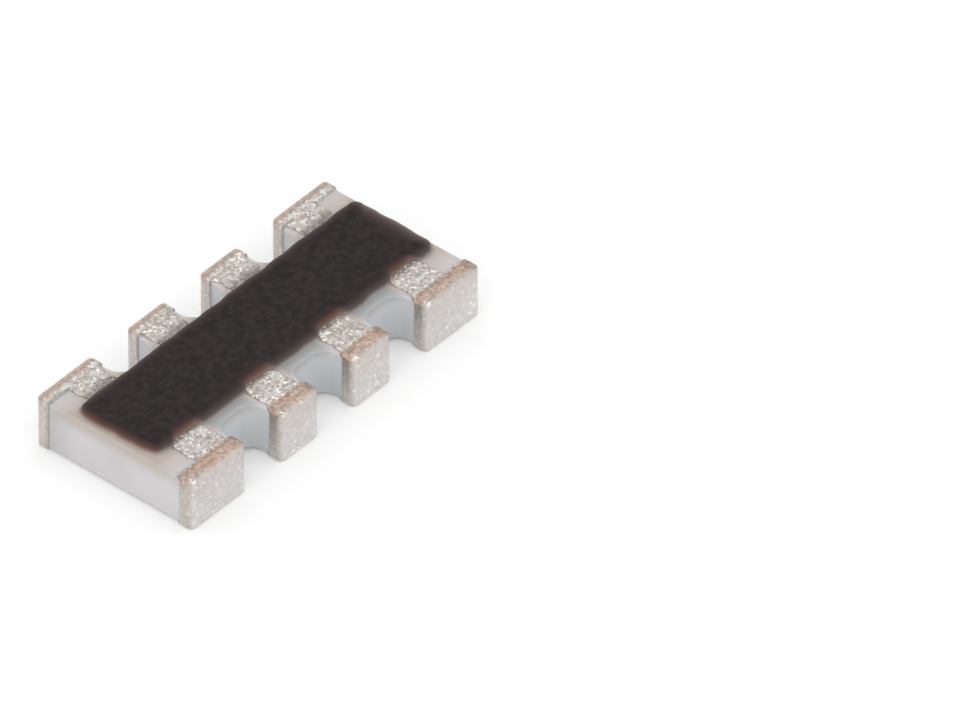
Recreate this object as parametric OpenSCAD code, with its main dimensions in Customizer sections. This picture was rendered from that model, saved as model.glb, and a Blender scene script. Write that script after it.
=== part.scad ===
// Resistor network: a chip array of separate resistors with wrap-around solder terminals.
// Sizes are in millimetres. X runs along the chip, Y across it and Z up, and the origin lies
// under the middle of the chip, on the plane of its solder faces.

/* [Chip] */
// Number of resistors side by side
elements = 4; // [2:1:5]
// Spacing of the terminals along the chip
pitch = 0.8; // [0.74:0.02:1]
// From the middle of the last terminal to the end of the chip
end_reach = 0.4; // [0.34:0.01:0.6]
// Width of the chip over its terminals
chip_w = 1.5; // [1.4:0.02:2]
// Height of the chip over its terminals
chip_h = 0.45; // [0.35:0.01:0.7]

/* [Ceramic plate] */
// Width of the notch between two terminals
notch_w = 0.4; // [0.34:0.01:0.46]
// Depth of a notch from the long side of the plate
notch_depth = 0.295; // [0.26:0.005:0.31]
// Radius of the inner corners of a notch
notch_r = 0.13; // [0.06:0.01:0.16]
// Radius of the upright corners of the lugs
lug_r = 0.05; // [0.01:0.005:0.06]

/* [Printed contacts] */
// Thickness of the printed contacts
contact_t = 0.007; // [0.005:0.001:0.012]
// Width of a top contact
contact_w = 0.29; // [0.24:0.01:0.31]
// Clear distance between two facing top contacts
contact_gap = 0.5; // [0.3:0.02:0.6]
// Width of a bottom contact
pad_w = 0.31; // [0.26:0.01:0.33]
// Length of a bottom contact from the long side of the plate
pad_reach = 0.325; // [0.22:0.005:0.4]
// Radius of the inner corners of a bottom contact
pad_r = 0.12; // [0.02:0.01:0.14]

/* [Resistor films] */
// Thickness of a resistor film
film_t = 0.008; // [0.005:0.001:0.012]
// Width of a resistor film
film_w = 0.24; // [0.16:0.01:0.28]
// Length by which a film lies on each of its contacts
film_overlap = 0.05; // [0.03:0.005:0.08]
// Width of the trim cut
trim_w = 0.03; // [0.015:0.005:0.05]
// Depth of the trim cut from the side of the film
trim_depth = 0.11; // [0.05:0.01:0.14]
// Length of the leg of the trim cut along the film
trim_leg = 0.14; // [0.06:0.01:0.18]

/* [Protective coat] */
// Height of the coat over the plate
coat_t = 0.048; // [0.026:0.001:0.06]
// Height of the coat at its rim
coat_rim_t = 0.006; // [0.003:0.001:0.008]
// Width of the coat across the chip
coat_w = 0.82; // [0.74:0.01:0.84]
// Bare margin of the plate beyond each end of the coat
coat_margin = 0.025; // [0.015:0.005:0.12]
// Radius of the corners of the coat
coat_r = 0.09; // [0.07:0.01:0.15]
// Width over which the coat thins out to its rim
coat_slope = 0.05; // [0.03:0.005:0.065]

/* [Terminal metals] */
// Thickness of the edge contact
edge_t = 0.005; // [0.004:0.001:0.01]
// Thickness of the nickel barrier
nickel_t = 0.004; // [0.003:0.001:0.008]
// Thickness of the tin finish
tin_t = 0.005; // [0.004:0.001:0.012]
// Length by which an edge contact wraps round the lug
wrap = 0.1; // [0.06:0.005:0.12]
// Radius of the long edges of an edge contact
edge_r = 0.015; // [0.008:0.001:0.016]

/* [Hidden] */
$fn = 48;
// Overlap of a cutting tool with the face that it cuts
cut = 0.1;
// Flat steps in the sloping rim of the coat
slope_steps = 4;
// Share of a metal's thickness by which its free ends are rounded
tip_share = 0.8;
// Largest radius of an edge contact's long edges, in its own thicknesses, that still covers the
// corner of the printed contact under it
roll_share = 3.2;

terminals = 2 * elements;
plating_t = nickel_t + tin_t;
side_t = edge_t + plating_t;
rim_t = contact_t + side_t;
roll_r = min(edge_r, roll_share * edge_t);
chip_l = (elements - 1) * pitch + 2 * end_reach;
plate_l = chip_l - 2 * side_t;
plate_w = chip_w - 2 * side_t;
plate_t = chip_h - 2 * rim_t;
plate_z = rim_t;
top_z = plate_z + plate_t;
lug_w = pitch - notch_w;
coat_l = plate_l - 2 * coat_margin;
film_l = contact_gap + 2 * film_overlap;

// Terminals are numbered along the front side and back along the rear one, so that
// resistor k joins terminal k to the terminal facing it
function column(i) = i <= elements ? i - 1 : terminals - i;
function column_x(c) = (c - (elements - 1) / 2) * pitch;
function terminal_x(i) = column_x(column(i));

// Ends of a terminal's lug along the chip: the outer lugs run on to the end of the plate
function lug_start(i) = column(i) == 0 ? -plate_l / 2 : terminal_x(i) - lug_w / 2;
function lug_end(i) = column(i) == elements - 1 ? plate_l / 2 : terminal_x(i) + lug_w / 2;

// Rectangle from corner a to corner b, with the radii of its corners given anticlockwise from a
module soft_rectangle(a, b, radii) {
    corners = [a, [b.x, a.y], b, [a.x, b.y]];
    inward = [[1, 1], [-1, 1], [-1, -1], [1, -1]];
    difference() {
        translate(a)
            square(b - a);
        for (k = [0:3])
            if (radii[k] > 0)
                corner_waste(corners[k], inward[k], radii[k]);
    }
}

// What a rounded corner loses: the square at the corner outside the corner's own circle
module corner_waste(corner, inward, r) {
    centre = corner + r * inward;
    difference() {
        translate(corner + (r - cut) / 2 * inward)
            square(r + cut, center = true);
        translate(centre)
            circle(r);
    }
}

// Draws a terminal's rear-side shape on the side where terminal i lies
module on_side(i) {
    if (i <= elements)
        mirror([0, 1, 0])
            children();
    else
        children();
}

// Notch in the rear side at x, with round inner corners and a rounded mouth
module notch_outline(x) {
    low = [x - notch_w / 2, plate_w / 2 - notch_depth];
    high = [x + notch_w / 2, plate_w / 2 + cut];
    soft_rectangle(low, high, [notch_r, notch_r, 0, 0]);
    difference() {
        translate([x - notch_w / 2 - lug_r, plate_w / 2 - lug_r])
            square([notch_w + 2 * lug_r, lug_r + cut]);
        for (s = [-1, 1])
            translate([x + s * (notch_w / 2 + lug_r), plate_w / 2 - lug_r])
                circle(lug_r);
    }
}

module plate_outline() {
    half = [plate_l, plate_w] / 2;
    difference() {
        soft_rectangle(-half, half, [lug_r, lug_r, lug_r, lug_r]);
        for (c = [0:elements - 2], side = [0, 1])
            mirror([0, side, 0])
                notch_outline(column_x(c) + pitch / 2);
    }
}

module plate() {
    translate([0, 0, plate_z])
        linear_extrude(plate_t)
            plate_outline();
}

// Block round the end of lug i that stands grow clear of the ceramic on every side
module cap_block(i, grow) {
    low = [lug_start(i) - grow, plate_w / 2 - wrap - grow + edge_t, plate_z - contact_t - grow];
    high = [lug_end(i) + grow, plate_w / 2 + grow, top_z + contact_t + grow];
    size = high - low;
    tip = tip_share * grow;
    long = roll_r + grow - edge_t;
    upright = lug_r + grow;
    intersection() {
        translate([0, 0, low.z])
            linear_extrude(size.z)
                soft_rectangle([low.x, low.y], [high.x, high.y], [tip, tip, upright, upright]);
        translate([low.x, 0, 0])
            rotate([90, 0, 90])
                linear_extrude(size.x)
                    soft_rectangle([low.y, low.z], [high.y, high.z], [tip, long, long, tip]);
        translate([0, high.y, 0])
            rotate([90, 0, 0])
                linear_extrude(size.y)
                    soft_rectangle([low.x, low.z], [high.x, high.z], [long, long, long, long]);
    }
}

// Tongue on the top face from y_in to y_out, grown over the printed contact with rounded shoulders
module tongue_block(i, grow, y_in, y_out) {
    half_w = contact_w / 2 + grow;
    translate([terminal_x(i), y_out, 0])
        rotate([90, 0, 0])
            linear_extrude(y_out - y_in)
                soft_rectangle([-half_w, top_z], [half_w, top_z + contact_t + grow], [0, 0, grow, grow]);
}

// Pad on the underside with a round inner end, grown over the printed contact, out to y_out
module pad_block(i, grow, y_out) {
    half_w = pad_w / 2 + grow;
    y_in = plate_w / 2 - pad_reach - grow;
    inner_r = pad_r + grow;
    translate([terminal_x(i), 0, plate_z - contact_t - grow])
        linear_extrude(contact_t + grow)
            soft_rectangle([-half_w, y_in], [half_w, y_out], [inner_r, inner_r, 0, 0]);
}

// Everything of terminal i within a plating of thickness grow, which stops at the rim of the coat
module plated_block(i, grow) {
    under_cap = plate_w / 2 - wrap / 2;
    cap_block(i, edge_t + grow);
    tongue_block(i, grow, coat_w / 2, under_cap);
    pad_block(i, grow, under_cap);
}

// Section of the coat from a line inside it to its rim at y, with the rim rim_t high
function rim_section(y, rim_t) = concat(
    [[0, 0], [y, 0]],
    [
        for (s = [0:slope_steps])
            [y - coat_slope * s / slope_steps, rim_t + (coat_t - rim_t) * sin(90 * s / slope_steps)]
    ],
    [[0, coat_t]]
);

// Coat before its underside is fitted to what it covers: a flat sheet that thins out all round
module coat_sheet() {
    straight = [coat_l / 2 - coat_r, coat_w / 2 - coat_r];
    for (turn = [0, 180]) {
        rotate([0, 0, turn])
            translate([-straight.x, 0, 0])
                rotate([90, 0, 90])
                    linear_extrude(2 * straight.x)
                        polygon(rim_section(coat_w / 2, coat_rim_t));
        rotate([0, 0, turn])
            translate([0, straight.y, 0])
                rotate([90, 0, 0])
                    linear_extrude(2 * straight.y)
                        polygon(rim_section(coat_l / 2, coat_rim_t));
    }
    for (s = [0:3]) {
        side = [s == 0 || s == 3 ? 1 : -1, s < 2 ? 1 : -1];
        translate([side.x * straight.x, side.y * straight.y, 0])
            rotate([0, 0, 90 * s])
                rotate_extrude(angle = 90)
                    polygon(rim_section(coat_r, coat_rim_t));
    }
}

// Where the coat climbs over a printed contact its rim is higher by the contact's thickness
module coat_over_contact(i) {
    translate([terminal_x(i) - contact_w / 2, 0, 0])
        rotate([90, 0, 90])
            linear_extrude(contact_w)
                polygon(rim_section(coat_w / 2, contact_t + coat_rim_t));
}

// Section of a film along its length: flat on the plate, with a step up on to each contact
module film_section() {
    gap = contact_gap / 2;
    far = film_l / 2;
    step = gap - film_t;
    polygon([
        [-gap, 0], [gap, 0], [gap, contact_t], [far, contact_t],
        [far, contact_t + film_t], [step, contact_t + film_t], [step, film_t],
        [-step, film_t], [-step, contact_t + film_t], [-far, contact_t + film_t],
        [-far, contact_t], [-gap, contact_t]
    ]);
}

// Cut in from the side of the film and then along it, right through the film
module trim_cut() {
    translate([film_w / 2 - trim_depth, -trim_leg / 2, -cut])
        linear_extrude(film_t + 2 * cut) {
            square([trim_depth + cut, trim_w]);
            square([trim_w, trim_leg]);
        }
}

module film(k) {
    translate([column_x(k - 1), 0, top_z])
        difference() {
            translate([-film_w / 2, 0, 0])
                rotate([90, 0, 90])
                    linear_extrude(film_w)
                        film_section();
            trim_cut();
        }
}

module contact_on_top(i) {
    on_side(i)
        tongue_block(i, 0, contact_gap / 2, plate_w / 2);
}

module contact_below(i) {
    on_side(i)
        pad_block(i, 0, plate_w / 2);
}

module ceramic_substrate() {
    color("gainsboro")
        plate();
}

module resistor_film(k) {
    color("dimgray")
        film(k);
}

module top_contact(i) {
    color("silver")
        contact_on_top(i);
}

module bottom_contact(i) {
    color("silver")
        contact_below(i);
}

module edge_contact(i) {
    color("rosybrown")
        difference() {
            on_side(i)
                cap_block(i, edge_t);
            plate();
            contact_on_top(i);
            contact_below(i);
        }
}

module nickel_barrier(i) {
    color("darkgray")
        difference() {
            on_side(i)
                plated_block(i, nickel_t);
            on_side(i)
                plated_block(i, 0);
            plate();
        }
}

module tin_terminal(i) {
    color("lightgray")
        difference() {
            on_side(i)
                plated_block(i, plating_t);
            on_side(i)
                plated_block(i, nickel_t);
            plate();
        }
}

module protective_coat() {
    color([0.2, 0.18, 0.18])
        difference() {
            translate([0, 0, top_z]) {
                coat_sheet();
                for (i = [1:terminals])
                    on_side(i)
                        coat_over_contact(i);
            }
            for (i = [1:terminals])
                contact_on_top(i);
            for (k = [1:elements])
                film(k);
        }
}

ceramic_substrate();
for (k = [1:elements])
    resistor_film(k);
for (i = [1:terminals]) {
    top_contact(i);
    bottom_contact(i);
    edge_contact(i);
    nickel_barrier(i);
    tin_terminal(i);
}
protective_coat();
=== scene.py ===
# %% [markdown]
# # A chip resistor network
# Four film resistors share one small ceramic plate. Each of them ends in two terminals, which wrap
# round the lugs along the plate's long sides, so that the part can be soldered flat to a circuit board.
# What shows is the pale ceramic, the black coat that is printed over the resistors, and the crystalline
# tin of the terminals.
#
# The CAD model is loaded first and stays where it is. The new pieces are made around it in the same
# frame. They are worked out in millimetres, because the whole part is only 3.2 mm long, and go into the
# meshes in metres.

import bmesh
import bpy
import numpy as np
from mathutils import Matrix, Vector


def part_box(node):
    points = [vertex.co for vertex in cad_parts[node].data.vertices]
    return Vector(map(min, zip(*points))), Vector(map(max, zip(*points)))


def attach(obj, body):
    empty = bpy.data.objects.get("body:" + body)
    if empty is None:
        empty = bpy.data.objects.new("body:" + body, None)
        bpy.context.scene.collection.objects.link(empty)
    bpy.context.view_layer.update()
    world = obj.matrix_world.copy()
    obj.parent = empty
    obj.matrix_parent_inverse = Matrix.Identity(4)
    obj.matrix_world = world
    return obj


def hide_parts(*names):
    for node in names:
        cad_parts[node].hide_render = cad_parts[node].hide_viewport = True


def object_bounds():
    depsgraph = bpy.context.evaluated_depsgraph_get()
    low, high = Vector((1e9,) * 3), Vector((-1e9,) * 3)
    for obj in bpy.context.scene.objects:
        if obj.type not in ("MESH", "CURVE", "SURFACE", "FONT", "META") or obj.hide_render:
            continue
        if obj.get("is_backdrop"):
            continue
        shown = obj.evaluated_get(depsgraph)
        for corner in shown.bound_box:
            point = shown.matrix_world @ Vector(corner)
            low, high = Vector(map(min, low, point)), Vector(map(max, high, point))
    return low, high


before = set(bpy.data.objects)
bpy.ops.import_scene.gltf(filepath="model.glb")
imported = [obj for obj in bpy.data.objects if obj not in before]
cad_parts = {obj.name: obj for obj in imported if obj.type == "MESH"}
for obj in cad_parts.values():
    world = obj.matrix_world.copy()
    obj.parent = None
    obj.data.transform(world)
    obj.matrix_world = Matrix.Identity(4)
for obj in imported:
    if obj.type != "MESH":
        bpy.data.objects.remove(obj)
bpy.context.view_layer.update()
MM = 0.001

# %% [markdown]
# The sizes of the pieces are read from the boxes of the CAD nodes, so that each new surface lies where
# the solid does. The layers of a terminal lie round each other like the skins of an onion. The
# difference between the boxes of two neighbouring layers is therefore the thickness of the outer one.


# %% Read the sizes from the frame
def box_mm(node):
    """Lowest and highest corner of a CAD node as two arrays: its box in metres over the length of a
    millimetre."""
    low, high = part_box(node)
    return np.array(low) / MM, np.array(high) / MM


TERMINALS = sorted(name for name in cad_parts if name.startswith("tin_terminal_"))
ELEMENTS = len(TERMINALS) // 2
plate_low, plate_high = box_mm("ceramic_substrate")
coat_high = box_mm("protective_coat")[1]
tin_low, tin_high = box_mm("tin_terminal_2")
nickel_high = box_mm("nickel_barrier_2")[1]
edge_low, edge_high = box_mm("edge_contact_2")
contact_low, contact_high = box_mm("top_contact_2")
pad_low, pad_high = box_mm("bottom_contact_2")

tin_t = tin_high[0] - nickel_high[0]
plating_t = tin_high[0] - edge_high[0]
contact_t = contact_high[2] - contact_low[2]
edge_t = plate_low[1] - edge_low[1]
side_t = edge_t + plating_t
rim_t = contact_t + side_t
pitch = box_mm("tin_terminal_3")[0][0] - tin_low[0]
lug_w = edge_high[0] - edge_low[0] - 2 * edge_t
print(f"tin {tin_t:.3f} mm over {plating_t - tin_t:.3f} mm of nickel")
print(f"lugs {lug_w:.2f} mm wide, {pitch:.2f} mm apart")

# %% [markdown]
# The camera stands where the photograph's did: a very long lens, about 40 degrees above the table, with
# the near end of the part turned towards the left. The part is left of the middle of the picture. The
# camera is moved sideways for that instead of being shifted or turned, so that the perspective stays as
# it is.

# %% Place the camera
PICTURE_W, PICTURE_H = 960, 720
SENSOR_W, LENS = 36.0, 1200.0
AZIMUTH, ELEVATION = np.radians(-49.415), np.radians(40.631)
PIXELS_PER_MM = 138.261
ORIGIN_PIXEL = (258.703, 378.315)
CLIP_NEAR, CLIP_FAR = 0.1, 20

right = np.array([np.cos(AZIMUTH), np.sin(AZIMUTH), 0])
level = np.array([np.sin(AZIMUTH), -np.cos(AZIMUTH), 0])
back = level * np.cos(ELEVATION) + np.array([0, 0, np.sin(ELEVATION)])
up = np.cross(back, right)
distance = LENS / SENSOR_W * PICTURE_W / PIXELS_PER_MM
aside = (PICTURE_W / 2 - ORIGIN_PIXEL[0]) / PIXELS_PER_MM
raised = (ORIGIN_PIXEL[1] - PICTURE_H / 2) / PIXELS_PER_MM
spot = (distance * back + aside * right + raised * up) * MM

camera = bpy.data.objects.new("camera", bpy.data.cameras.new("camera"))
camera.data.lens, camera.data.sensor_width = LENS, SENSOR_W
camera.data.clip_start = distance * MM * CLIP_NEAR
camera.data.clip_end = distance * MM * CLIP_FAR
camera.matrix_world = Matrix((*zip(right, up, back, spot), (0, 0, 0, 1)))
bpy.context.scene.collection.objects.link(camera)
bpy.context.scene.camera = camera
print(f"camera {distance:.1f} mm away")

# %% [markdown]
# Each new piece is a stack of closed rings: a profile carried round a path. The path is an outline of
# straight sides and arcs, stepped evenly along its length, and each ring of the stack lies a little
# further in or up than the one before it. One array holds the whole stack, so numpy moves all its
# points at once.


# %% Outlines from arcs
def arc(centre, radius, start, end, steps=16):
    """Points of an arc: the centre plus the radius times (cos, sin) of angles from start to end, in
    degrees."""
    turn = np.radians(np.linspace(start, end, steps + 1))
    return np.array(centre) + radius * np.stack([np.cos(turn), np.sin(turn)], axis=1)


def even_steps(path, count):
    """Points at equal steps along a closed path: the running length adds up the chords, and each
    coordinate is read off at equal shares of the whole length."""
    closed = np.vstack([path, path[:1]])
    run = np.concatenate([[0], np.cumsum(np.linalg.norm(np.diff(closed, axis=0), axis=1))])
    at = np.linspace(0, run[-1], count, endpoint=False)
    return np.stack([np.interp(at, run, closed[:, axis]) for axis in (0, 1)], axis=1)


def outward(path):
    """Unit normals of an anticlockwise path: the chord between a point's neighbours, turned a right
    angle out."""
    chord = np.roll(path, -1, axis=0) - np.roll(path, 1, axis=0)
    normal = np.stack([chord[:, 1], -chord[:, 0]], axis=1)
    return normal / np.linalg.norm(normal, axis=1, keepdims=True)


def soft_rectangle(half_u, half_v, low_r, high_r, count):
    """Rectangle about the origin with arcs at its corners, of radius low_r at the -v end and high_r at
    the +v end. It starts in the middle of the +u side, so that an even count makes it symmetric."""
    low, high = half_v - low_r, half_v - high_r
    path = [
        [[half_u, (high - low) / 2]],
        arc((half_u - high_r, high), high_r, 0, 90),
        arc((high_r - half_u, high), high_r, 90, 180),
        arc((low_r - half_u, -low), low_r, 180, 270),
        arc((half_u - low_r, -low), low_r, 270, 360),
    ]
    return even_steps(np.vstack(path), count)


def along_spine(path, half_u):
    """Nearest point to each point of the path on a line along u through the origin, half_u long each
    way."""
    return np.stack([np.clip(path[:, 0], -half_u, half_u), 0 * path[:, 1]], axis=1)


# %% Meshes from rings
SHARP = np.radians(65)
MERGE, SEAM_MERGE = 1e-6, 1e-5


def ring_quads(rows, columns):
    """Quads between neighbouring closed rings, whose vertices are numbered ring after ring."""
    row, column = np.meshgrid(np.arange(rows - 1), np.arange(columns), indexing="ij")
    here, beside = row * columns + column, row * columns + (column + 1) % columns
    return np.stack([here, beside, beside + columns, here + columns], axis=-1).reshape(-1, 4)


def paint(mesh, **layers):
    """Stores each array of one number per vertex as an attribute of that name, for the materials to
    read."""
    for name, values in layers.items():
        mesh.attributes.new(name, "FLOAT", "POINT").data.foreach_set("value", np.float32(values).ravel())


def closed_mesh(name, rings, first="pole", last="pole", merge=MERGE, **layers):
    """Mesh in millimetres of a stack of rings. An end is closed by a fan to its middle point (pole), by
    one face (face), or by merging the two halves of a ring that is folded on to a line (seam). layers
    are painted first."""
    rows, columns = rings.shape[:2]
    vertices = rings.reshape(-1, 3)
    faces = ring_quads(rows, columns).tolist()
    ends = ((first, np.arange(columns)[::-1]), (last, np.arange(columns) + (rows - 1) * columns))
    for closing, ring in ends:
        if closing == "face":
            faces.append(ring.tolist())
        if closing == "pole":
            pole = np.full(columns, len(vertices))
            faces += np.stack([ring, np.roll(ring, -1), pole], axis=1).tolist()
            vertices = np.vstack([vertices, vertices[ring].mean(axis=0)])
    mesh = bpy.data.meshes.new(name)
    mesh.from_pydata(vertices.tolist(), [], faces)
    paint(mesh, **layers)
    work = bmesh.new()
    work.from_mesh(mesh)
    bmesh.ops.remove_doubles(work, verts=work.verts, dist=merge)
    bmesh.ops.recalc_face_normals(work, faces=work.faces)
    work.to_mesh(mesh)
    work.free()
    return mesh


# %% Points and pieces
def vertices_mm(mesh):
    """All vertices of a mesh that is still in millimetres, as one array."""
    place = np.empty(len(mesh.vertices) * 3, np.float32)
    mesh.vertices.foreach_get("co", place)
    return place.reshape(-1, 3).astype(float)


def place_piece(name, mesh, finish, slot, *nodes):
    """Shows a mesh as a piece: to metres, smooth but for seams sharper than SHARP, with its finish,
    riding on the part and standing for nodes."""
    mesh.transform(Matrix.Scale(MM, 4))
    mesh.shade_smooth()
    mesh.set_sharp_from_angle(angle=SHARP)
    mesh.materials.clear()
    mesh.materials.append(finish)
    piece = bpy.data.objects.new(name, mesh)
    bpy.context.scene.collection.objects.link(piece)
    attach(piece, "root")
    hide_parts(*nodes)
    mesh.calc_loop_triangles()
    print(f"{name}: {len(mesh.loop_triangles)} triangles, stands for {', '.join(nodes)}")


# %% [markdown]
# Two kinds of unevenness come back on several pieces. Slow waves are what a printed or pressed surface
# has: a few cosine waves in chosen but random-looking directions, added up. Crystals are what plated
# tin has: space is cut into cells round scattered seed points, and all points of a cell share the same
# tilt, height and shade.

# %% Waves
WAVES, WAVE_SPREAD = 8, (0.7, 1.5)


def smooth(value, low, high):
    """0 below low and 1 above high, with a smooth step between."""
    share = np.clip((value - low) / (high - low), 0, 1)
    return share * share * (3 - 2 * share)


def slow_waves(points, wavelength, seed):
    """Smooth height from about -1 to 1: twice the mean of eight cosines of seeded direction, length and
    phase."""
    random = np.random.default_rng(seed)
    direction = random.normal(size=(WAVES, points.shape[-1]))
    direction /= np.linalg.norm(direction, axis=1, keepdims=True)
    number = 2 * np.pi / (wavelength * random.uniform(*WAVE_SPREAD, WAVES))
    phase = random.uniform(0, 2 * np.pi, WAVES)
    return 2 * np.cos(points @ (direction * number[:, None]).T + phase).mean(axis=-1)


# %% Crystals
# A crystal has six numbers of its own: three for its tilt, one for its height, two for its shade and cast.
TRAITS, SHADE_AND_CAST = 6, slice(4, 6)


def hashed(address, seed, count):
    """Numbers from 0 to 1 that look random but depend only on a whole-number address: it is multiplied
    by large odd numbers, folded on to itself twice, and its top 53 bits become the fraction."""
    odd = np.array([0x9E3779B97F4A7C15, 0xC2B2AE3D27D4EB4F, 0x165667B19E3779F9], np.uint64)
    word = (address.astype(np.uint64) * odd).sum(axis=1, dtype=np.uint64) + np.uint64(seed)
    lanes = word[:, None] + np.arange(1, count + 1, dtype=np.uint64) * odd[0]
    lanes = (lanes ^ (lanes >> np.uint64(30))) * np.uint64(0xBF58476D1CE4E5B9)
    lanes = (lanes ^ (lanes >> np.uint64(27))) * np.uint64(0x94D049BB133111EB)
    return (lanes >> np.uint64(11)) / 2.0**53


def crystals(points, size, seed):
    """Crystal of each point. Space is cut into boxes of the given size with one seed each, at a hashed
    place, and a point belongs to the nearest seed of its own box and the 26 round it. Gives the way
    from that seed and its lead over the second nearest, both in sizes, and six numbers from 0 to 1 that
    the whole crystal shares."""
    place = points / size
    home = np.floor(place).astype(np.int64)
    nearest = np.full(len(points), np.inf)
    second = nearest.copy()
    offset = np.zeros_like(place)
    traits = np.zeros((len(points), TRAITS))
    for step in np.ndindex(3, 3, 3):
        box = home + np.array(step) - 1
        random = hashed(box, seed, 3 + TRAITS)
        away = place - box - random[:, :3]
        distance = np.linalg.norm(away, axis=1)
        closer = distance < nearest
        second = np.where(closer, nearest, np.minimum(second, distance))
        nearest = np.where(closer, distance, nearest)
        offset[closer], traits[closer] = away[closer], random[closer, 3:]
    return offset, second - nearest, traits


# %% [markdown]
# A finish is a Principled shader with a few nodes in front of it. Colours are written as they look on a
# screen, from 0 to 255, and turned into the linear light that the shader works in.

# %% Helpers for finishes
BLACK, WHITE = (0, 0, 0, 1), (1, 1, 1, 1)


def shade(red, green, blue):
    """Linear colour of a screen colour: the screen's brightness curve undone for each of the three
    parts."""
    level = np.array([red, green, blue]) / 255
    linear = np.where(level <= 0.04045, level / 12.92, ((level + 0.055) / 1.055) ** 2.4)
    return (*linear.tolist(), 1.0)


def new_finish(name, sockets):
    """Material with one Principled shader, whose constant values are set on its own sockets."""
    finish = bpy.data.materials.new(name)
    finish.use_nodes = True
    shader = finish.node_tree.nodes["Principled BSDF"]
    for socket, value in sockets.items():
        shader.inputs[socket].default_value = value
    return finish, shader


def add_node(finish, kind, inputs, **settings):
    """Adds a shader node with its settings, and fills its inputs with values or with other nodes'
    outputs."""
    node = finish.node_tree.nodes.new("ShaderNode" + kind)
    for name, value in settings.items():
        setattr(node, name, value)
    for socket, value in inputs.items():
        if isinstance(value, bpy.types.NodeSocket):
            finish.node_tree.links.new(value, node.inputs[socket])
        else:
            node.inputs[socket].default_value = value
    return node


# %% Patterns and mixes
def noise(finish, grain_mm, detail=2.0):
    """Noise of a grain size in millimetres, on the piece's own coordinates, which are metres."""
    where = add_node(finish, "TexCoord", {}).outputs["Object"]
    inputs = {"Vector": where, "Scale": 1 / (grain_mm * MM), "Detail": detail}
    return add_node(finish, "TexNoise", inputs).outputs[0]


def painted(finish, name):
    """The value that paint() stored in the mesh under that name."""
    return add_node(finish, "Attribute", {}, attribute_name=name).outputs["Fac"]


def ramp(finish, factor, *stops):
    """Colours at places from 0 to 1, run into each other."""
    node = add_node(finish, "ValToRGB", {"Fac": factor})
    elements = node.color_ramp.elements
    while len(elements) < len(stops):
        elements.new(0.5)
    for element, (place, colour) in zip(elements, stops):
        element.position, element.color = place, colour
    return node.outputs["Color"]


def blend(finish, factor, one, other, how="MIX"):
    """Two colours mixed by a factor."""
    node = add_node(finish, "Mix", {0: factor, 6: one, 7: other}, data_type="RGBA", blend_type=how)
    return node.outputs[2]


def between(finish, factor, low, high):
    """A factor from 0 to 1 stretched to run from low to high."""
    return add_node(finish, "MapRange", {"Value": factor, "To Min": low, "To Max": high}).outputs["Result"]


def relief(finish, height, depth_mm):
    """Normal of a bump whose height of 1 stands for a depth in millimetres."""
    return add_node(finish, "Bump", {"Height": height, "Distance": depth_mm * MM}).outputs["Normal"]


def feed(finish, shader, **outputs):
    """Links node outputs to the shader's sockets, named with _ for a space."""
    for socket, output in outputs.items():
        finish.node_tree.links.new(output, shader.inputs[socket.replace("_", " ")])


# %% [markdown]
# The plate is alumina: pressed, fired and snapped along scored lines, with a punched notch between each
# two lugs. Extruding its outline would leave knife edges, and a bevel has to be told which edges to
# take. Here a rounded profile is carried round the outline instead, so every edge gets the same soft
# corner that fired ceramic has. The top and the underside are more rings, which close on a line along
# the middle of the plate. The line reaches past the last notches, so that no ring crosses one on its
# way.

# %% Outline of the plate
NOTCH_DEPTH = 0.295
NOTCH_R = 0.13
LUG_R = 0.05
PLATE_STEPS = 1280

half_l, half_w = plate_high[0], plate_high[1]
half_notch = (pitch - lug_w) / 2
notch_floor = half_w - NOTCH_DEPTH + NOTCH_R


def notch(x):
    """A notch in the rear side, walked from +X to -X: round lug corner, round bottom corners, round lug
    corner."""
    return [
        arc((x + half_notch + LUG_R, half_w - LUG_R), LUG_R, 90, 180),
        arc((x + half_notch - NOTCH_R, notch_floor), NOTCH_R, 0, -90),
        arc((x - half_notch + NOTCH_R, notch_floor), NOTCH_R, -90, -180),
        arc((x - half_notch - LUG_R, half_w - LUG_R), LUG_R, 0, 90),
    ]


rear_side = [[[half_l, 0]], arc((half_l - LUG_R, half_w - LUG_R), LUG_R, 0, 90)]
for notch_x in (pitch, 0, -pitch):
    rear_side += notch(notch_x)
rear_side.append(arc((LUG_R - half_l, half_w - LUG_R), LUG_R, 90, 180))
rear_side = np.vstack(rear_side)
plate_path = even_steps(np.vstack([rear_side, -rear_side]), PLATE_STEPS)
print(f"plate outline of {len(plate_path)} points")

# %% Shape of the plate
PLATE_EDGE_R = 0.016
WALL_FADE, RIM_FADE = 0.12, 0.08
NOTCH_RIM_W = (0.02, 0.12)
END_RIM, END_RIM_DROP, END_RIM_W = (0.45, 1.0), PLATE_EDGE_R / 3, (0.03, 0.09)
CAP_SHADE, CAP_SHADE_S = 0.8, (0.3, 0.64)
ROUND_ROWS, WALL_ROWS = 7, 9
TO_SPINE = np.array([0.03, 0.06, 0.1, 0.15, 0.3, 0.6, 1.0])[:, None, None]

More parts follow.
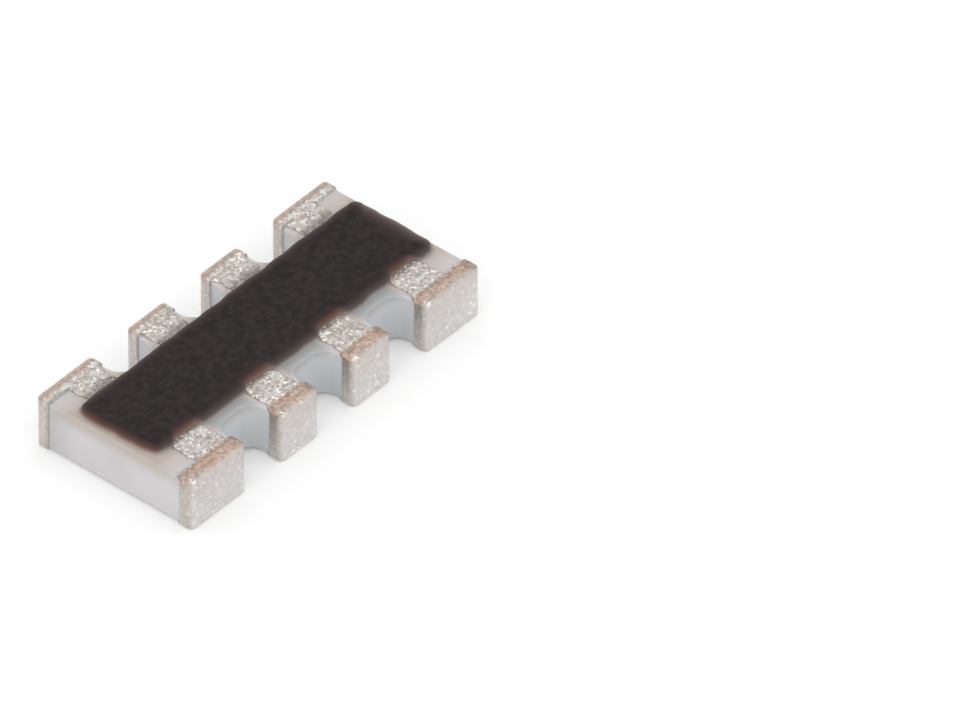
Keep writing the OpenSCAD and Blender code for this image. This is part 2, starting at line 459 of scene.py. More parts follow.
turn = np.linspace(0, np.pi / 2, ROUND_ROWS)
corner_in = PLATE_EDGE_R * (1 - np.sin(turn))
corner_down = PLATE_EDGE_R * (1 - np.cos(turn))
wall = np.linspace(plate_low[2] + PLATE_EDGE_R, plate_high[2] - PLATE_EDGE_R, WALL_ROWS)[1:-1]
profile_in = np.concatenate([corner_in, 0 * wall, corner_in[::-1]])
profile_z = np.concatenate([plate_low[2] + corner_down, wall, plate_high[2] - corner_down[::-1]])
around = plate_path - outward(plate_path) * profile_in[:, None, None]
spine = along_spine(around[-1], pitch + half_notch + LUG_R)
flat = around[-1] + (spine - around[-1]) * TO_SPINE
plate_xy = np.concatenate([flat[::-1], around, flat])
plate_z = np.concatenate([np.full(len(flat), plate_low[2]), profile_z, np.full(len(flat), plate_high[2])])
plate_rings = np.dstack([plate_xy, np.broadcast_to(plate_z[:, None], plate_xy.shape[:2])])

below_top = np.clip((plate_high[2] - plate_z) / WALL_FADE, 0, 1)[:, None]
below_rim = np.clip((plate_high[2] - plate_z) / RIM_FADE, 0, 1)[:, None]
above_foot = np.clip((plate_z - plate_low[2]) / PLATE_EDGE_R, 0, 1)[:, None]
at_end = np.abs(plate_path[:, 0]) > half_l - LUG_R / 2
past_floor = np.abs(plate_path[:, 1]) - (half_w - NOTCH_DEPTH)
# Painted shade: the top face at the notch rims, the top edge of each end face and the end face beside the
# rear cap are darkened.
notch_rim_shade = (1 - smooth(past_floor, *NOTCH_RIM_W)) * (1 - below_rim) * ~at_end
from_edge = np.linalg.norm(plate_xy - plate_path, axis=-1)
end_rim_shade = np.interp(plate_high[2] - plate_z, [0, END_RIM_DROP], END_RIM)[:, None]
end_rim_shade = end_rim_shade * (1 - below_top) * (1 - smooth(from_edge, *END_RIM_W))
shade_beside_cap = CAP_SHADE * smooth(plate_path[:, 1], *CAP_SHADE_S) * below_top * above_foot
layers = {
    "notch_wall": below_rim * above_foot * ~at_end,
    "notch_rim_shade": notch_rim_shade,
    "end_shade": (end_rim_shade + shade_beside_cap) * at_end,
}
plate_mesh = closed_mesh("ceramic_plate", plate_rings, "seam", "seam", SEAM_MERGE, **layers)
print(f"plate of {len(plate_rings)} rings")

# %% [markdown]
# Alumina is white and slightly translucent: light enters it, spreads by a few tenths of a millimetre
# and comes out again, which softens its edges. Subsurface scattering does that. The walls of the
# notches look a little bluer than the faces. Their rims, the top edge of each end face and the end face
# beside the rear cap are painted greyer, as painted shade, and painted attributes say where that is.
# Light that runs under the dark coat is lost there, so the ceramic is dimmer and creamier close to it.
# The finish measures how far a spot is from the coat, sideways and down, and tints it by that, a
# painted shade.

# %% Finish of the plate
PRINT_SHIFT = np.array([0.018, 0.026])
HALO, DOWNWARD = 0.18, 1.7
SCATTER = 0.12
CLOUD_GRAIN = 0.35
PLATE_GRAIN, PLATE_GRAIN_H = 0.012, 0.0012

coat_half_l, coat_half_w = coat_high[:2]


def beyond_coat(finish):
    """Distance from the coat: how far |x| and |y| from its middle lie beyond its half length and half
    width, and how far the spot lies below the top of the plate, stretched by DOWNWARD, none of them
    below 0, as the length of one vector."""
    where = add_node(finish, "TexCoord", {}).outputs["Object"]
    for operation, vector in (
        ("DIVIDE", (MM, MM, MM / DOWNWARD)),
        ("SUBTRACT", (*PRINT_SHIFT, plate_high[2] * DOWNWARD)),
        ("ABSOLUTE", (0, 0, 0)),
        ("SUBTRACT", (coat_half_l, coat_half_w, 0)),
        ("MAXIMUM", (0, 0, 0)),
        ("LENGTH", (0, 0, 0)),
    ):
        node = add_node(finish, "VectorMath", {0: where, 1: vector}, operation=operation)
        where = node.outputs[0]
    return node.outputs["Value"]


alumina, shader = new_finish("fired_alumina", {
    "Roughness": 0.5,
    "Subsurface Weight": 0.5,
    "Subsurface Radius": (1.0, 0.9, 0.85),
    "Subsurface Scale": SCATTER * MM,
    "Specular IOR Level": 0.25,
})
cloud = noise(alumina, CLOUD_GRAIN)
cloud = ramp(alumina, cloud, (0.3, shade(206, 202, 203)), (0.7, shade(212, 209, 210)))
tinted = blend(alumina, painted(alumina, "notch_wall"), cloud, shade(212, 215, 218))
# Painted shade on the notch rims, on the top edges of the end faces and beside the rear cap.
tinted = blend(alumina, painted(alumina, "notch_rim_shade"), tinted, shade(176, 186, 196))
tinted = blend(alumina, painted(alumina, "end_shade"), tinted, shade(188, 187, 187))
halo = add_node(alumina, "Math", {0: beyond_coat(alumina), 1: HALO}, operation="DIVIDE").outputs[0]
halo = ramp(
    alumina, halo,
    (0.0, shade(241, 228, 216)), (0.11, shade(244, 233, 222)), (0.25, shade(250, 240, 230)),
    (0.45, shade(254, 245, 237)), (0.7, shade(255, 250, 246)), (1.0, shade(255, 255, 255)),
)
feed(alumina, shader, Base_Color=blend(alumina, 1.0, tinted, halo, "MULTIPLY"))
feed(alumina, shader, Normal=relief(alumina, noise(alumina, PLATE_GRAIN), PLATE_GRAIN_H))
place_piece("ceramic_plate", plate_mesh, alumina, "alumina", "ceramic_substrate")

# %% [markdown]
# The coat is a film of glass or resin ink, printed over the resistors and not quite in the middle. Ink
# pulls back from its edge as it dries, so the film thins out towards its rim and the pale ceramic
# shines brown or grey through the thin part: least on the rear side, where the print began, and
# furthest at the end where it ran out. Along the front side it pulls back most where it runs over the
# contacts. Its rings run from the rim inwards to a line along the middle, where the two halves of the
# last ring meet and are merged.


# %% Mats: films that lie on the plate
def mat_rings(path, spine, insets, heights, inner_rows):
    """A film as rings: a profile of insets and heights carried round the path, then inner_rows rings
    that close on the spine. A point goes from the path to its own point of the spine by the inset's
    share of q, where q is the spine's distance in from the rim there. The insets may differ from point
    to point."""
    normal = outward(path)
    depth = ((path - spine) * normal).sum(axis=1)
    start = insets.reshape(len(insets), -1) / depth
    share = np.linspace(0, 1, inner_rows + 1)[1:, None]
    inwards = np.vstack([start, start[-1] + share * (1 - start[-1])])
    rings = np.empty((len(inwards), len(path), 3))
    rings[..., :2] = path + (spine - path) * inwards[..., None]
    rings[..., 2] = np.concatenate([heights, np.full(inner_rows, heights[-1])])[:, None]
    return rings


# %% Shape of the coat
COAT_R = 0.09
COAT_RIM_T = 0.0005
SLOPE_W, SLOPE_LEAN, RISE_POWER = 0.04, 0.013, 1.6
BLUNT, BLUNT_W = 0.035, 0.16
COAT_STEPS = 900
COAT_INNER_ROWS = 40
SLOPE_ROWS = 12
COAT_RIM_WANDER, RIM_WAVE, RIM_SEED = 0.009, 0.25, 3
WANDER_FADE, WANDER_END = 0.1, 0.35
COAT_WAVE, RIPPLE_WAVE, RIPPLE_SEED = 0.0015, 0.3, 5
# FRINGE and RUN_OVER go by the sides -X, +X, -Y and +Y, as run_out does.
FRINGE = np.array([0.095, 0.19, 0.1, 0.09])
RUN_OVER = np.array([0, 0, 0, 0.013])
NICK, NICK_FRINGE, NICK_W = 0.04, 0.165, (-0.04, 0.05)

coat_t = coat_high[2] - plate_high[2]
coat_path = soft_rectangle(coat_half_l, coat_half_w, COAT_R, COAT_R, COAT_STEPS)
coat_normal = outward(coat_path)
slope = np.linspace(0, 1, SLOPE_ROWS)
slope_w = SLOPE_W - SLOPE_LEAN * np.clip(coat_normal.sum(axis=1), -1, 1)
coat_in = np.vstack([0 * slope_w, slope[:, None] * slope_w])
rise = np.sin(slope * np.pi / 2) ** RISE_POWER
coat_up = np.concatenate([[0], COAT_RIM_T + (coat_t - COAT_WAVE - COAT_RIM_T) * rise])
coat_spine = along_spine(coat_path, coat_half_l - coat_half_w)
coat_rings = mat_rings(coat_path, coat_spine, coat_in, coat_up, COAT_INNER_ROWS)

from_rim = ((coat_path - coat_rings[..., :2]) * coat_normal).sum(axis=-1)
towards = [-coat_normal[:, 0], coat_normal[:, 0], -coat_normal[:, 1], coat_normal[:, 1]]
run_out = np.clip(towards, 0, 1) ** 2
front = range(1, ELEMENTS + 1)
columns = np.array([np.mean(box_mm(f"top_contact_{number}"), axis=0)[0] for number in front])
contact_half = (contact_high[0] - contact_low[0]) / 2
past_contact = np.abs(coat_path[:, :1] - columns).min(axis=1) - contact_half
nicked = (1 - smooth(past_contact, *NICK_W)) * run_out[2]
fringe = FRINGE @ run_out
fringe += nicked * (NICK_FRINGE - fringe)
browned = np.broadcast_to(np.maximum(run_out[0], nicked), from_rim.shape)
from_blunt = np.linalg.norm(coat_path + coat_high[:2], axis=1)
wander = COAT_RIM_WANDER * np.minimum(slow_waves(coat_path, RIM_WAVE, RIM_SEED) - 1, 0)
wander += RUN_OVER @ run_out - BLUNT * np.exp(-((from_blunt / BLUNT_W) ** 2)) - NICK * nicked
wander = wander * np.exp(-from_rim / WANDER_FADE) * (from_rim < WANDER_END)
coat_rings[..., :2] += coat_normal * wander[..., None] + PRINT_SHIFT
ripple = np.clip(slow_waves(coat_rings[..., :2], RIPPLE_WAVE, RIPPLE_SEED), -1, 1)
coat_rings[..., 2] += COAT_WAVE * ripple * (from_rim > slope_w)
coat_rings[..., 2] += plate_high[2]
layers = {"to_rim": from_rim / fringe, "browned": browned}
coat_mesh = closed_mesh("printed_coat", coat_rings, "face", "seam", SEAM_MERGE, **layers)
print(f"coat {coat_t:.3f} mm thick, fringe {fringe.min():.3f} to {fringe.max():.3f} mm wide")

# %% Finish of the coat
INK_GRAIN, COAT_GRAIN, COAT_GRAIN_H = 0.05, 0.02, 0.002
INK_DETAIL = 4.0

black_coat, shader = new_finish("black_coat", {"Roughness": 0.62, "Specular IOR Level": 0.22})
ink = noise(black_coat, INK_GRAIN, INK_DETAIL)
ink = ramp(black_coat, ink, (0.38, shade(25, 17, 17)), (0.62, shade(43, 33, 32)))
to_rim = painted(black_coat, "to_rim")
brown = ramp(
    black_coat, to_rim,
    (0.0, shade(178, 164, 155)), (0.125, shade(138, 114, 104)), (0.22, shade(107, 81, 73)),
    (0.31, shade(88, 61, 54)), (0.58, shade(55, 36, 35)),
)
grey = ramp(
    black_coat, to_rim,
    (0.0, shade(172, 168, 164)), (0.125, shade(142, 136, 132)), (0.22, shade(107, 96, 93)),
    (0.31, shade(83, 71, 69)), (0.58, shade(58, 45, 45)),
)
thin = blend(black_coat, painted(black_coat, "browned"), grey, brown)
reach = ramp(black_coat, to_rim, (0.55, BLACK), (1.0, WHITE))
feed(black_coat, shader, Base_Color=blend(black_coat, reach, thin, ink))
grain = noise(black_coat, COAT_GRAIN, INK_DETAIL)
feed(black_coat, shader, Normal=relief(black_coat, grain, COAT_GRAIN_H))
place_piece("printed_coat", coat_mesh, black_coat, "black_coat", "protective_coat")

# %% [markdown]
# A terminal grows in a plating bath on whatever metal is bare: round the end of its lug, over a tongue
# on the top face and over a pad on the underside. Its cap is a profile carried round the outline of the
# lug's end face: out from the middle of the face, over the rolled edge and back along the lug to a
# rounded tip. The tongue and the pad are mats. Each is a closed skin with the thickness of the tin, and
# a Boolean joins the three.

# %% Cap of a terminal
# By side, -1 is the front (-Y) and 1 the rear (+Y). A pair is for the upright sides and the long ones.
UPRIGHT_R = LUG_R + side_t
LONG_R = 0.03
FACE_CORNER_R = 0.012
TAPER = np.array([0.015, 0.03])
RIM_CREEP = {-1: (0.0, 0.042), 1: (0.0, 0.0)}
SEAT = 0.0005
CAP_STEPS = 208
OUTER_ROWS = {"face": 24, "roll": 10, "wrap": 9, "taper": 8}
INNER_ROWS = {"face": 4, "roll": 6, "wrap": 4, "taper": 5}

half_z = (tin_high[2] - tin_low[2]) / 2
face_s = -tin_low[1]
cap_rim_s = {side: -edge_high[1] - plating_t - np.array(RIM_CREEP[side]) for side in (-1, 1)}
print(f"caps {2 * half_z:.3f} mm high, their faces {face_s:.3f} mm from the middle")


def cap_rings(centre_x, half_x, side, inside, rows):
    """Skin of a cap as rings of (x, s, z), with s the distance out from the middle of the part. Each
    ring is a soft rectangle, with one inset and depth for its upright sides and one for its long ones,
    and the depth changes over at the corners with the square of the normal. The insets are a quarter
    circle at the rolled edge and a quarter ellipse where the metal thins out on the ceramic, which on
    the front side creeps further in. inside moves the skin in by a thickness."""
    length = face_s - cap_rim_s[side] - 2 * inside
    taper = TAPER - inside
    radii = np.array([UPRIGHT_R, LONG_R]) - inside
    feet = np.array([side_t, rim_t]) - inside - SEAT
    turn = np.linspace(0, np.pi / 2, rows["roll"])[:, None]
    run = np.linspace(0, 1, rows["wrap"])[1:, None]
    thin = np.linspace(0, np.pi / 2, rows["taper"])[1:, None]
    insets = np.vstack([radii * (1 - np.sin(turn)), 0 * run * radii, feet * (1 - np.cos(thin))])
    depths = np.vstack([
        radii * (1 - np.cos(turn)),
        radii + run * (length - taper - radii),
        length - taper * (1 - np.sin(thin)) + 0 * feet,
    ])
    corners = np.concatenate([
        FACE_CORNER_R + (LONG_R - FACE_CORNER_R) * np.sin(turn[:, 0]),
        np.full(len(run), LONG_R),
        LONG_R + (PLATE_EDGE_R - LONG_R) * (1 - np.cos(thin[:, 0])),
    ]) - inside
    rings = []
    for inset, depth, corner in zip(insets, depths, corners):
        half_u, half_v = half_x - inside - inset[0], half_z - inside - inset[1]
        path = soft_rectangle(half_u, half_v, corner, corner, CAP_STEPS)
        upright = outward(path)[:, 0] ** 2
        rings.append(np.column_stack([path, depth[0] * upright + depth[1] * (1 - upright)]))
    share = np.linspace(0, 1, rows["face"], endpoint=False)[1:, None, None]
    rings = np.concatenate([rings[0] * share, rings])
    x, z, depth = np.moveaxis(rings, -1, 0)
    return np.stack([x + centre_x, face_s - inside - depth, z + half_z], axis=-1)


# %% Tongue and pad of a terminal
TONGUE_R = 0.09
TONGUE_LAP = 0.038
MAT_WANDER, MAT_WAVE, MAT_SEED = 0.008, 0.11, 7
PAD_R = 0.134
OUTER_R = 0.02
SHOULDER_W, SHOULDER_H = 0.016, 0.013
MAT_STEPS, SHOULDER_ROWS = 220, 6
OUTER_MAT_ROWS, INNER_MAT_ROWS = 30, 3

tongue_half = contact_half + plating_t
coat_rim_s = {
    -1: coat_half_w - PRINT_SHIFT[1] - NICK,
    1: coat_half_w + PRINT_SHIFT[1] + RUN_OVER[3],
}
pad_half = (pad_high[0] - pad_low[0]) / 2 + plating_t
pad_s = -pad_high[1] - plating_t
under_cap_s = {side: cap_rim_s[side][1] + TAPER[1] for side in (-1, 1)}
mat_t = contact_t + plating_t
mat_room = rim_t - mat_t
print(f"tongues {2 * tongue_half:.3f} mm and pads {2 * pad_half:.3f} mm wide, {mat_t:.3f} mm thick")


def grown_mat(centre_x, half_x, inner_s, outer_s, inner_r, inside, rows):
    """Plated mat as rings of (x, s, height): a low upright wall and the quarter ellipse of a shoulder,
    carried round a rectangle with a round inner end and closed on its middle. inside moves the skin in
    by a thickness. The outer skin wanders outwards in slow waves, as a plated edge does."""
    half_s = (outer_s - inner_s) / 2
    path = soft_rectangle(half_x - inside, half_s - inside, inner_r - inside, OUTER_R - inside, MAT_STEPS)
    if not inside:
        path += outward(path) * MAT_WANDER * (1 + slow_waves(path + centre_x, MAT_WAVE, MAT_SEED))[:, None]
    wide, tall, height = SHOULDER_W - inside, SHOULDER_H - inside, mat_t - inside
    turn = np.linspace(0, np.pi / 2, SHOULDER_ROWS)
    insets = np.concatenate([[0], wide * (1 - np.cos(turn))])
    heights = np.concatenate([[SEAT], height - tall * (1 - np.sin(turn))])
    rings = mat_rings(path, np.zeros(2), insets, heights, rows)[:-1]
    return rings + np.array([centre_x, (inner_s + outer_s) / 2, 0])


# %% [markdown]
# The tin is matte: a close pack of crystals of about twenty micrometres, coarse and glittering on the
# tongues and pads, and much flatter on the end faces. The points of each skin move along their normals
# by the tilt and height of the crystal they belong to, with a groove between neighbours. The same
# crystals later give each spot its shade. Near the outer edges the strips are smooth. On the front side
# this smooth band begins at the rim of the cap, on the rear side further out.

# %% Grow the crystals
COARSE, FINE = 0.021, 0.018
COARSE_H, FINE_H = 0.0045, 0.0008
DEEPEST = 0.7 * tin_t
BAND_S = {-1: face_s - 0.145, 1: face_s - 0.063}
BAND_WANDER, BAND_WAVE, BAND_SEED = 0.012, 0.07, 9
BAND_SOFT, STRIP_DEPTH = (-0.01, 0.01), (0.03, 0.06)
UPRIGHT_COARSE, UPRIGHT_W = {-1: 0.3, 1: 0.8}, (0.02, 0.05)
TILT_H, LEVEL_H, GROOVE_H, GROOVE_W = 1.4, 0.7, 0.6, 0.15
print(f"crystals of {COARSE} and {FINE} mm, no deeper than {DEEPEST:.4f} mm")


def to_long_face(z):
    """Distance of a height from the nearer of the cap's top and bottom faces."""
    return np.minimum(tin_high[2] - z, z - tin_low[2])


def past_band(place, side):
    """How far out a point lies from the line where the smooth band begins, which wanders along the
    strip."""
    return place[:, 1] - BAND_S[side] - BAND_WANDER * slow_waves(place[:, :1], BAND_WAVE, BAND_SEED)


def coarse_share(place, side):
    """Share of coarse crystals: all on the tongue, the pad and the strips as far out as the smooth
    band, a part at the rims of the upright sides, and none on the end face."""
    strip = 1 - smooth(past_band(place, side), *BAND_SOFT)
    strip *= 1 - smooth(to_long_face(place[:, 2]), *STRIP_DEPTH)
    past_rim = place[:, 1] - cap_rim_s[side][0]
    return np.maximum(strip, UPRIGHT_COARSE[side] * (1 - smooth(past_rim, *UPRIGHT_W)))


def ring_normals(rings):
    """Unit normals of a stack of rings: the step along a ring crossed with the step from ring to ring."""
    along = np.roll(rings, -1, axis=1) - np.roll(rings, 1, axis=1)
    normal = np.cross(along, np.gradient(rings, axis=0))
    return normal / np.maximum(np.linalg.norm(normal, axis=-1, keepdims=True), 1e-12)


def crystal_height(points, size, seed):
    """Height from about -1.6 to 0.8: the crystal's tilt times the way from its seed, plus its own
    level, minus a groove that fades away from its border."""
    offset, lead, traits = crystals(points, size, seed)
    tilt = (offset * (2 * traits[:, :3] - 1)).sum(axis=1)
    return TILT_H * tilt + LEVEL_H * (traits[:, 3] - 0.5) - GROOVE_H * np.exp(-lead / GROOVE_W)


def grow(rings, side, turned, seed, highest):
    """Moves rings along their normals by the heights of their crystals, no deeper than most of the tin
    and no higher than allowed. turned is -1 where the normals of the rings point inwards. The last two
    rings stay."""
    points = rings.reshape(-1, 3)
    coarse = coarse_share(points, side)
    move = coarse * COARSE_H * crystal_height(points, COARSE, seed)
    move += (1 - coarse) * FINE_H * crystal_height(points, FINE, seed)
    move = np.clip(move, -DEEPEST, highest).reshape(rings.shape[:2])
    move[-2:] = 0
    return rings + ring_normals(rings) * (turned * move)[..., None]


# %% Build one terminal
def joined(name, parts):
    """One mesh from closed skins that overlap, by Boolean union."""
    holders = [bpy.data.objects.new(name, part) for part in parts]
    for holder in holders:
        bpy.context.scene.collection.objects.link(holder)
    for holder in holders[1:]:
        union = holders[0].modifiers.new("join", "BOOLEAN")
        union.operation, union.solver, union.object = "UNION", "MANIFOLD", holder
    depsgraph = bpy.context.evaluated_depsgraph_get()
    made = bpy.data.meshes.new_from_object(holders[0].evaluated_get(depsgraph))
    for holder in holders:
        bpy.data.objects.remove(holder)
    return made


def terminal_mesh(node, seed):
    """Tin of one terminal in millimetres: cap, tongue and pad, each with its inner skin, joined and
    turned to the terminal's own side of the part."""
    low, high = box_mm(node)
    number = int(node.rsplit("_", 1)[1])
    centre_x, half_x = (low[0] + high[0]) / 2, (high[0] - low[0]) / 2
    contact = box_mm(f"top_contact_{number}")
    column_x = (contact[0][0] + contact[1][0]) / 2
    side = 1 if low[1] > 0 else -1

    cap = grow(cap_rings(centre_x, half_x, side, 0, OUTER_ROWS), side, 1, seed, 0)
    parts = [np.concatenate([cap, cap_rings(centre_x, half_x, side, tin_t, INNER_ROWS)[::-1]])]
    for half, inner_s, inner_r, base, up in (
        (tongue_half, coat_rim_s[side] - TONGUE_LAP, TONGUE_R, plate_high[2], 1),
        (pad_half, pad_s, PAD_R, plate_low[2], -1),
    ):
        outer = grown_mat(column_x, half, inner_s, under_cap_s[side], inner_r, 0, OUTER_MAT_ROWS)
        inner = grown_mat(column_x, half, inner_s, under_cap_s[side], inner_r, tin_t, INNER_MAT_ROWS)
        for skin in (outer, inner):
            skin[..., 2] = base + up * skin[..., 2]
        parts.append(np.concatenate([grow(outer[::-1], side, -up, seed, mat_room), inner]))
    mesh = joined(node, [closed_mesh(node, rings * [1, side, 1]) for rings in parts])
    return mesh, side


# %% [markdown]
# The finish of the tin reads what is painted into the mesh: the shade of each crystal, the smooth
# bands, which have a brown cast with copper-coloured spots, and where the tin is darkened: on the ends
# of the tongues, which lie against the coat, on the bands of the rear side, and on those of the front
# side as a painted shadow in the groove along the rim and as painted shade at the far end. The crystals
# at the near corner of each front cap are painted lighter, a painted glint where they catch the light.
# The upright rims of the rear caps are painted lighter against the notches, painted light that lifts
# the shade of the gap there, than at the ends of the part, where they are darker as painted shade.

# %% Finish of the tin
WARM_GRAIN, COPPER_GRAIN = 0.035, 0.08
TIN_GRAIN, TIN_GRAIN_H = 0.009, 0.0012
COPPER_WEIGHT = 0.45
DULL, BRIGHT = 0.5, 0.26

tin, shader = new_finish("matte_tin", {"Metallic": 1.0})
crystal_shade = ramp(
    tin, painted(tin, "crystal"), (0.0, shade(176, 170, 164)), (0.35, shade(200, 194, 188)),
    (0.66, shade(212, 209, 210)), (0.88, shade(232, 230, 228)), (0.97, shade(255, 254, 253)),
)
cast = ramp(
    tin, painted(tin, "cast"), (0.1, shade(255, 243, 236)), (0.4, shade(255, 254, 253)),
    (0.6, shade(254, 255, 253)), (0.95, shade(252, 252, 245)),
)
warm = ramp(
    tin, noise(tin, WARM_GRAIN),
    (0.32, shade(156, 141, 131)), (0.5, shade(186, 166, 154)), (0.68, shade(212, 189, 176)),
)
copper = ramp(tin, noise(tin, COPPER_GRAIN), (0.48, BLACK), (0.68, (*[COPPER_WEIGHT] * 3, 1)))
warm = blend(tin, copper, warm, shade(216, 166, 138))
cast_shade = blend(tin, 1.0, crystal_shade, cast, "MULTIPLY")
banded = blend(tin, painted(tin, "band"), cast_shade, warm)
# Darkening towards dark brown: near the coat and on the rear bands, and painted shadow and painted shade
# on the front bands.
feed(tin, shader, Base_Color=blend(tin, painted(tin, "inked"), banded, shade(84, 74, 70)))
feed(tin, shader, Roughness=between(tin, painted(tin, "crystal"), DULL, BRIGHT))
feed(tin, shader, Normal=relief(tin, noise(tin, TIN_GRAIN), TIN_GRAIN_H))
print("tin finish ready")

# %% Bands and shades of the tin
BAND_EDGE = (-0.012, 0.008)
BAND_END = (face_s - 0.075, face_s + 0.05)
FOOT_BAND = (0.003, 0.015)
VEIL, VEIL_DEPTH = 0.24, 0.3
FLAT_SHADE, FLAT_CAST, FLAT_SPREAD, FLOOR_REFLECTION = 0.62, 0.5, 0.3, 0.12
SPECKS, SPECK_SHADE = 0.98, 0.22
UPRIGHT_SHADE, UPRIGHT_FADE = {-1: 0.38, 1: 0.1}, (0.004, 0.03)
REAR_RIM, REAR_RIM_ENDS = (0.003, 0.035), (0.0, 0.03)
REAR_RIM_LIGHT, REAR_END_SHADE = (0.92, 0.15), (0.2, 0.4)


def band_share(place, side, upright):
    """Share of the brown cast, the largest of three: the smooth bands, from the line where they begin
    to the rolled edge, a veil that fades down the end face, and one on the upright sides of the rear
    caps."""
    run = place[:, 1] + to_long_face(place[:, 2])
    band = smooth(past_band(place, side), *BAND_EDGE) * (1 - smooth(run, *BAND_END))
    band *= np.maximum(place[:, 2] > half_z, 1 - smooth(place[:, 2], *FOOT_BAND))
    veil = VEIL * (1 - smooth(tin_high[2] - place[:, 2], 0, VEIL_DEPTH)) * (place[:, 1] > face_s - LONG_R)
    return np.maximum.reduce([band, veil, VEIL * upright * (side > 0)])


def crystal_shades(place, side, upright, big, small):
    """Shade and cast of each point. Coarse crystals take their own random numbers, big. Fine ones stay
    close to the shade of the flat tin by small, with a few bright specks, painted lighter towards the foot
    as a painted reflection of the bright floor, and painted darker on the upright sides as painted shade.
    The upright rims of the rear caps get shades of their own: painted light against a notch, which lifts
    the shade of the gap there, and painted shade at the ends of the part."""
    flat = [FLAT_SHADE, FLAT_CAST] + FLAT_SPREAD * (small - 0.5)
    flat[:, 0] += SPECK_SHADE * (small[:, 0] > SPECKS)
    # Painted reflection of the bright floor: the flat tin is lighter towards the foot.
    flat[:, 0] += FLOOR_REFLECTION * ((tin_high[2] - place[:, 2]) / (2 * half_z) - 0.5)
    # Painted shade: the upright sides are darker.
    flat[:, 0] -= UPRIGHT_SHADE[side] * upright
    coarse = coarse_share(place, side)[:, None]
    shades = coarse * big + (1 - coarse) * flat
    # Painted light on the rear rims against the notches, painted shade on them at the ends of the part.
    rear_rim_light_and_shade = upright * (side > 0) * smooth(to_long_face(place[:, 2]), *REAR_RIM_ENDS)
    rear_rim_light_and_shade *= 1 - smooth(place[:, 1] - cap_rim_s[side][0], *REAR_RIM)
    on_end = np.abs(place[:, :1]) > half_l - LUG_R
    return shades + rear_rim_light_and_shade[:, None] * (np.where(on_end, REAR_END_SHADE, REAR_RIM_LIGHT) - shades)


# %% Darkening, painted shade and painted glints on the tin
NEAR_COAT_REACH, NEAR_COAT_WEIGHT = {-1: 0.04, 1: 0.1}, {-1: 0.5, 1: 0.6}
REAR_DULL = 0.13
GROOVE_SHADOW, GROOVE_SHADOW_IN, GROOVE_SHADOW_W = 0.3, 0.018, 0.01
FAR_SHADE, FAR_END = 0.28, (0.14, 0.02)
GLINT, GLINT_W = (0.045, 0.03, 0.006), 0.024
GLINT_SHADE, GLINT_FROM = 1.2, 0.35


def darkening_and_shade_share(place, side, band, far_x):
    """Share of darkening, the largest of these: it fades out from the coat on the top, and lies on the
    bands of the rear side, or on the front side as a painted shadow of bell-shaped section along the
    groove at the rim and as painted shade at the far end of the band."""
    rim_s = coat_rim_s[side]
    on_top = place[:, 2] > plate_high[2]
    near_coat = NEAR_COAT_WEIGHT[side] * (1 - smooth(place[:, 1], rim_s, rim_s + NEAR_COAT_REACH[side])) * on_top
    if side > 0:
        return np.maximum(near_coat, REAR_DULL * band)
    # Painted shadow along the groove at the rim of a front cap.
    from_groove = (past_band(place, side) - GROOVE_SHADOW_IN) / GROOVE_SHADOW_W
    groove = GROOVE_SHADOW * np.exp(-(from_groove**2)) * on_top
    # Painted shade at the far end of a front band.
    far = FAR_SHADE * band * smooth(place[:, 0], *(far_x - np.array(FAR_END)))
    return np.maximum.reduce([near_coat, groove, far])


def glint_share(place, near_x, big):
    """Share of glint near the upper corner of a cap at near_x: a bell of width GLINT_W about the point
    that lies GLINT from that corner, on the brighter crystals alone."""
    from_corner = np.stack([place[:, 0] - near_x, face_s - place[:, 1], tin_high[2] - place[:, 2]], axis=1)
    return np.exp(-(((from_corner - GLINT) / GLINT_W) ** 2).sum(axis=1)) * (big[:, 0] > GLINT_FROM)


# %% Build the terminals
FIRST_SEED = 11
for seed, node in enumerate(TERMINALS, start=FIRST_SEED):
    mesh, side = terminal_mesh(node, seed)
    place = vertices_mm(mesh) * [1, side, 1]
    low, high = box_mm(node)
    big, small = [crystals(place, size, seed)[2][:, SHADE_AND_CAST] for size in (COARSE, FINE)]
    upright = 1 - smooth(np.minimum(place[:, 0] - low[0], high[0] - place[:, 0]), *UPRIGHT_FADE)
    band = band_share(place, side, upright)
    shades = crystal_shades(place, side, upright, big, small)
    # Darkening near the coat and on the rear bands, painted shadow and painted shade on the front bands.
    inked = darkening_and_shade_share(place, side, band, high[0])
    # Painted glint: the brighter crystals at the near corner of each front cap are painted lighter and
    # lose the brown cast.
    if side < 0:
        glint = glint_share(place, low[0], big)
        shades[:, 0] += GLINT_SHADE * glint
        band *= 1 - glint
    paint(mesh, crystal=shades[:, 0], cast=shades[:, 1], band=band, inked=inked)
    place_piece(node.replace("tin", "plated"), mesh, tin, "tin", node)

# %% [markdown]
# Inside, the CAD solids show as they are: printed silver contacts, the sputtered edge metal, the nickel
# barrier and the resistor films. Nothing of them is seen from outside, but each has the finish of its
# own material.

# %% Finishes of the inner layers
INNER_CLOUD, INNER_GRAIN, INNER_GRAIN_H = 0.02, 0.008, 0.001
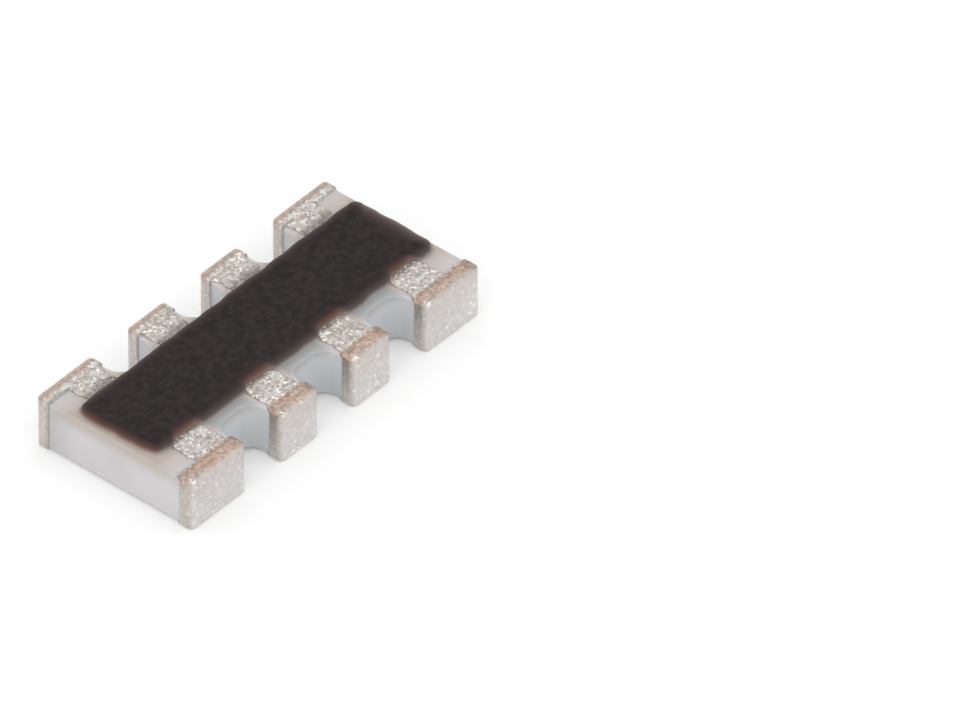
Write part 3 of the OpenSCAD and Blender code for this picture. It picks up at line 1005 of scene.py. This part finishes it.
# Slot, light and dark colour, metallic share and roughness.
SILVER = ("silver_contact", shade(214, 211, 205), shade(188, 184, 177), 1.0, 0.5)
INNER_LAYERS = {
    "top_contact": SILVER,
    "bottom_contact": SILVER,
    "edge_contact": ("edge_metal", shade(176, 172, 168), shade(150, 146, 143), 1.0, 0.4),
    "nickel_barrier": ("nickel", shade(190, 184, 172), shade(168, 162, 150), 1.0, 0.34),
    "resistor_film": ("resistor_film", shade(52, 49, 50), shade(30, 28, 29), 0.0, 0.55),
}
made = {}
for name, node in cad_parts.items():
    layer = name.rsplit("_", 1)[0]
    if layer not in INNER_LAYERS:
        continue
    slot, light, dark, metallic, roughness = INNER_LAYERS[layer]
    if slot not in made:
        finish, shader = new_finish(slot, {"Metallic": metallic, "Roughness": roughness})
        cloud = ramp(finish, noise(finish, INNER_CLOUD), (0.35, dark), (0.65, light))
        feed(finish, shader, Base_Color=cloud)
        feed(finish, shader, Normal=relief(finish, noise(finish, INNER_GRAIN), INNER_GRAIN_H))
        made[slot] = finish
    node.data.materials.clear()
    node.data.materials.append(made[slot])
print(f"inner finishes: {', '.join(made)}")

# %% [markdown]
# The photograph was taken in a light tent: white all round, with light from everywhere and hardly a
# shadow. The world is that tent. Rays from the camera and mirror-like rays see it white, other rays a
# little dimmer, and two wide lamps give the faces their small difference in brightness. The floor is
# white paper, which glows slightly for the camera and for mirrors, so that it runs into the white of
# the tent and still takes the part's shadow.

# %% Floor
scene = bpy.context.scene
scene.view_settings.view_transform = "Standard"

FLOOR_HALF = 0.15
PAPER_GLOW = 0.13
floor_mesh = bpy.data.meshes.new("floor")
corners = FLOOR_HALF * np.array([(-1, -1, 0), (1, -1, 0), (1, 1, 0), (-1, 1, 0)])
floor_mesh.from_pydata(corners.tolist(), [], [(0, 1, 2, 3)])
paper, shader = new_finish("white_paper", {
    "Base Color": (0.97, 0.97, 0.97, 1),
    "Roughness": 0.9,
    "Specular IOR Level": 0.0,
})
rays = add_node(paper, "LightPath", {}).outputs
seen = {0: rays["Is Camera Ray"], 1: rays["Is Glossy Ray"]}
seen = add_node(paper, "Math", seen, operation="MAXIMUM").outputs[0]
feed(paper, shader, Emission_Strength=between(paper, seen, 0.0, PAPER_GLOW))
floor_mesh.materials.append(paper)
floor = bpy.data.objects.new("floor", floor_mesh)
scene.collection.objects.link(floor)
floor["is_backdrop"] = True
print("floor placed")

# %% Light
TENT_DIM, TENT_WHITE = 0.91, 1.0

world = bpy.data.worlds.new("light_tent")
world.use_nodes = True
scene.world = world
rays = add_node(world, "LightPath", {}).outputs
seen = rays["Is Camera Ray"]
for other in ("Is Glossy Ray", "Is Transmission Ray"):
    seen = add_node(world, "Math", {0: seen, 1: rays[other]}, operation="MAXIMUM").outputs[0]
tent = world.node_tree.nodes["Background"]
tent.inputs["Color"].default_value = WHITE
world.node_tree.links.new(between(world, seen, TENT_DIM, TENT_WHITE), tent.inputs["Strength"])


def lamp(name, direction, far, size, power):
    """Square lamp at a distance in a direction, facing the part."""
    light = bpy.data.lights.new(name, "AREA")
    light.size, light.energy = size, power
    holder = bpy.data.objects.new(name, light)
    holder.location = Vector(direction).normalized() * far
    holder.rotation_euler = Vector(direction).to_track_quat("Z", "Y").to_euler()
    scene.collection.objects.link(holder)


lamp("window", direction=(-1.0, -0.3, 0.5), far=0.05, size=0.03, power=0.0029)
lamp("spark", direction=(0.5, -0.6, 1.1), far=0.06, size=0.008, power=0.0008)
print("tent and lamps placed")

# %% Size of the part
low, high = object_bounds()
print(f"visual box {[round(side / MM, 4) for side in high - low]} mm")
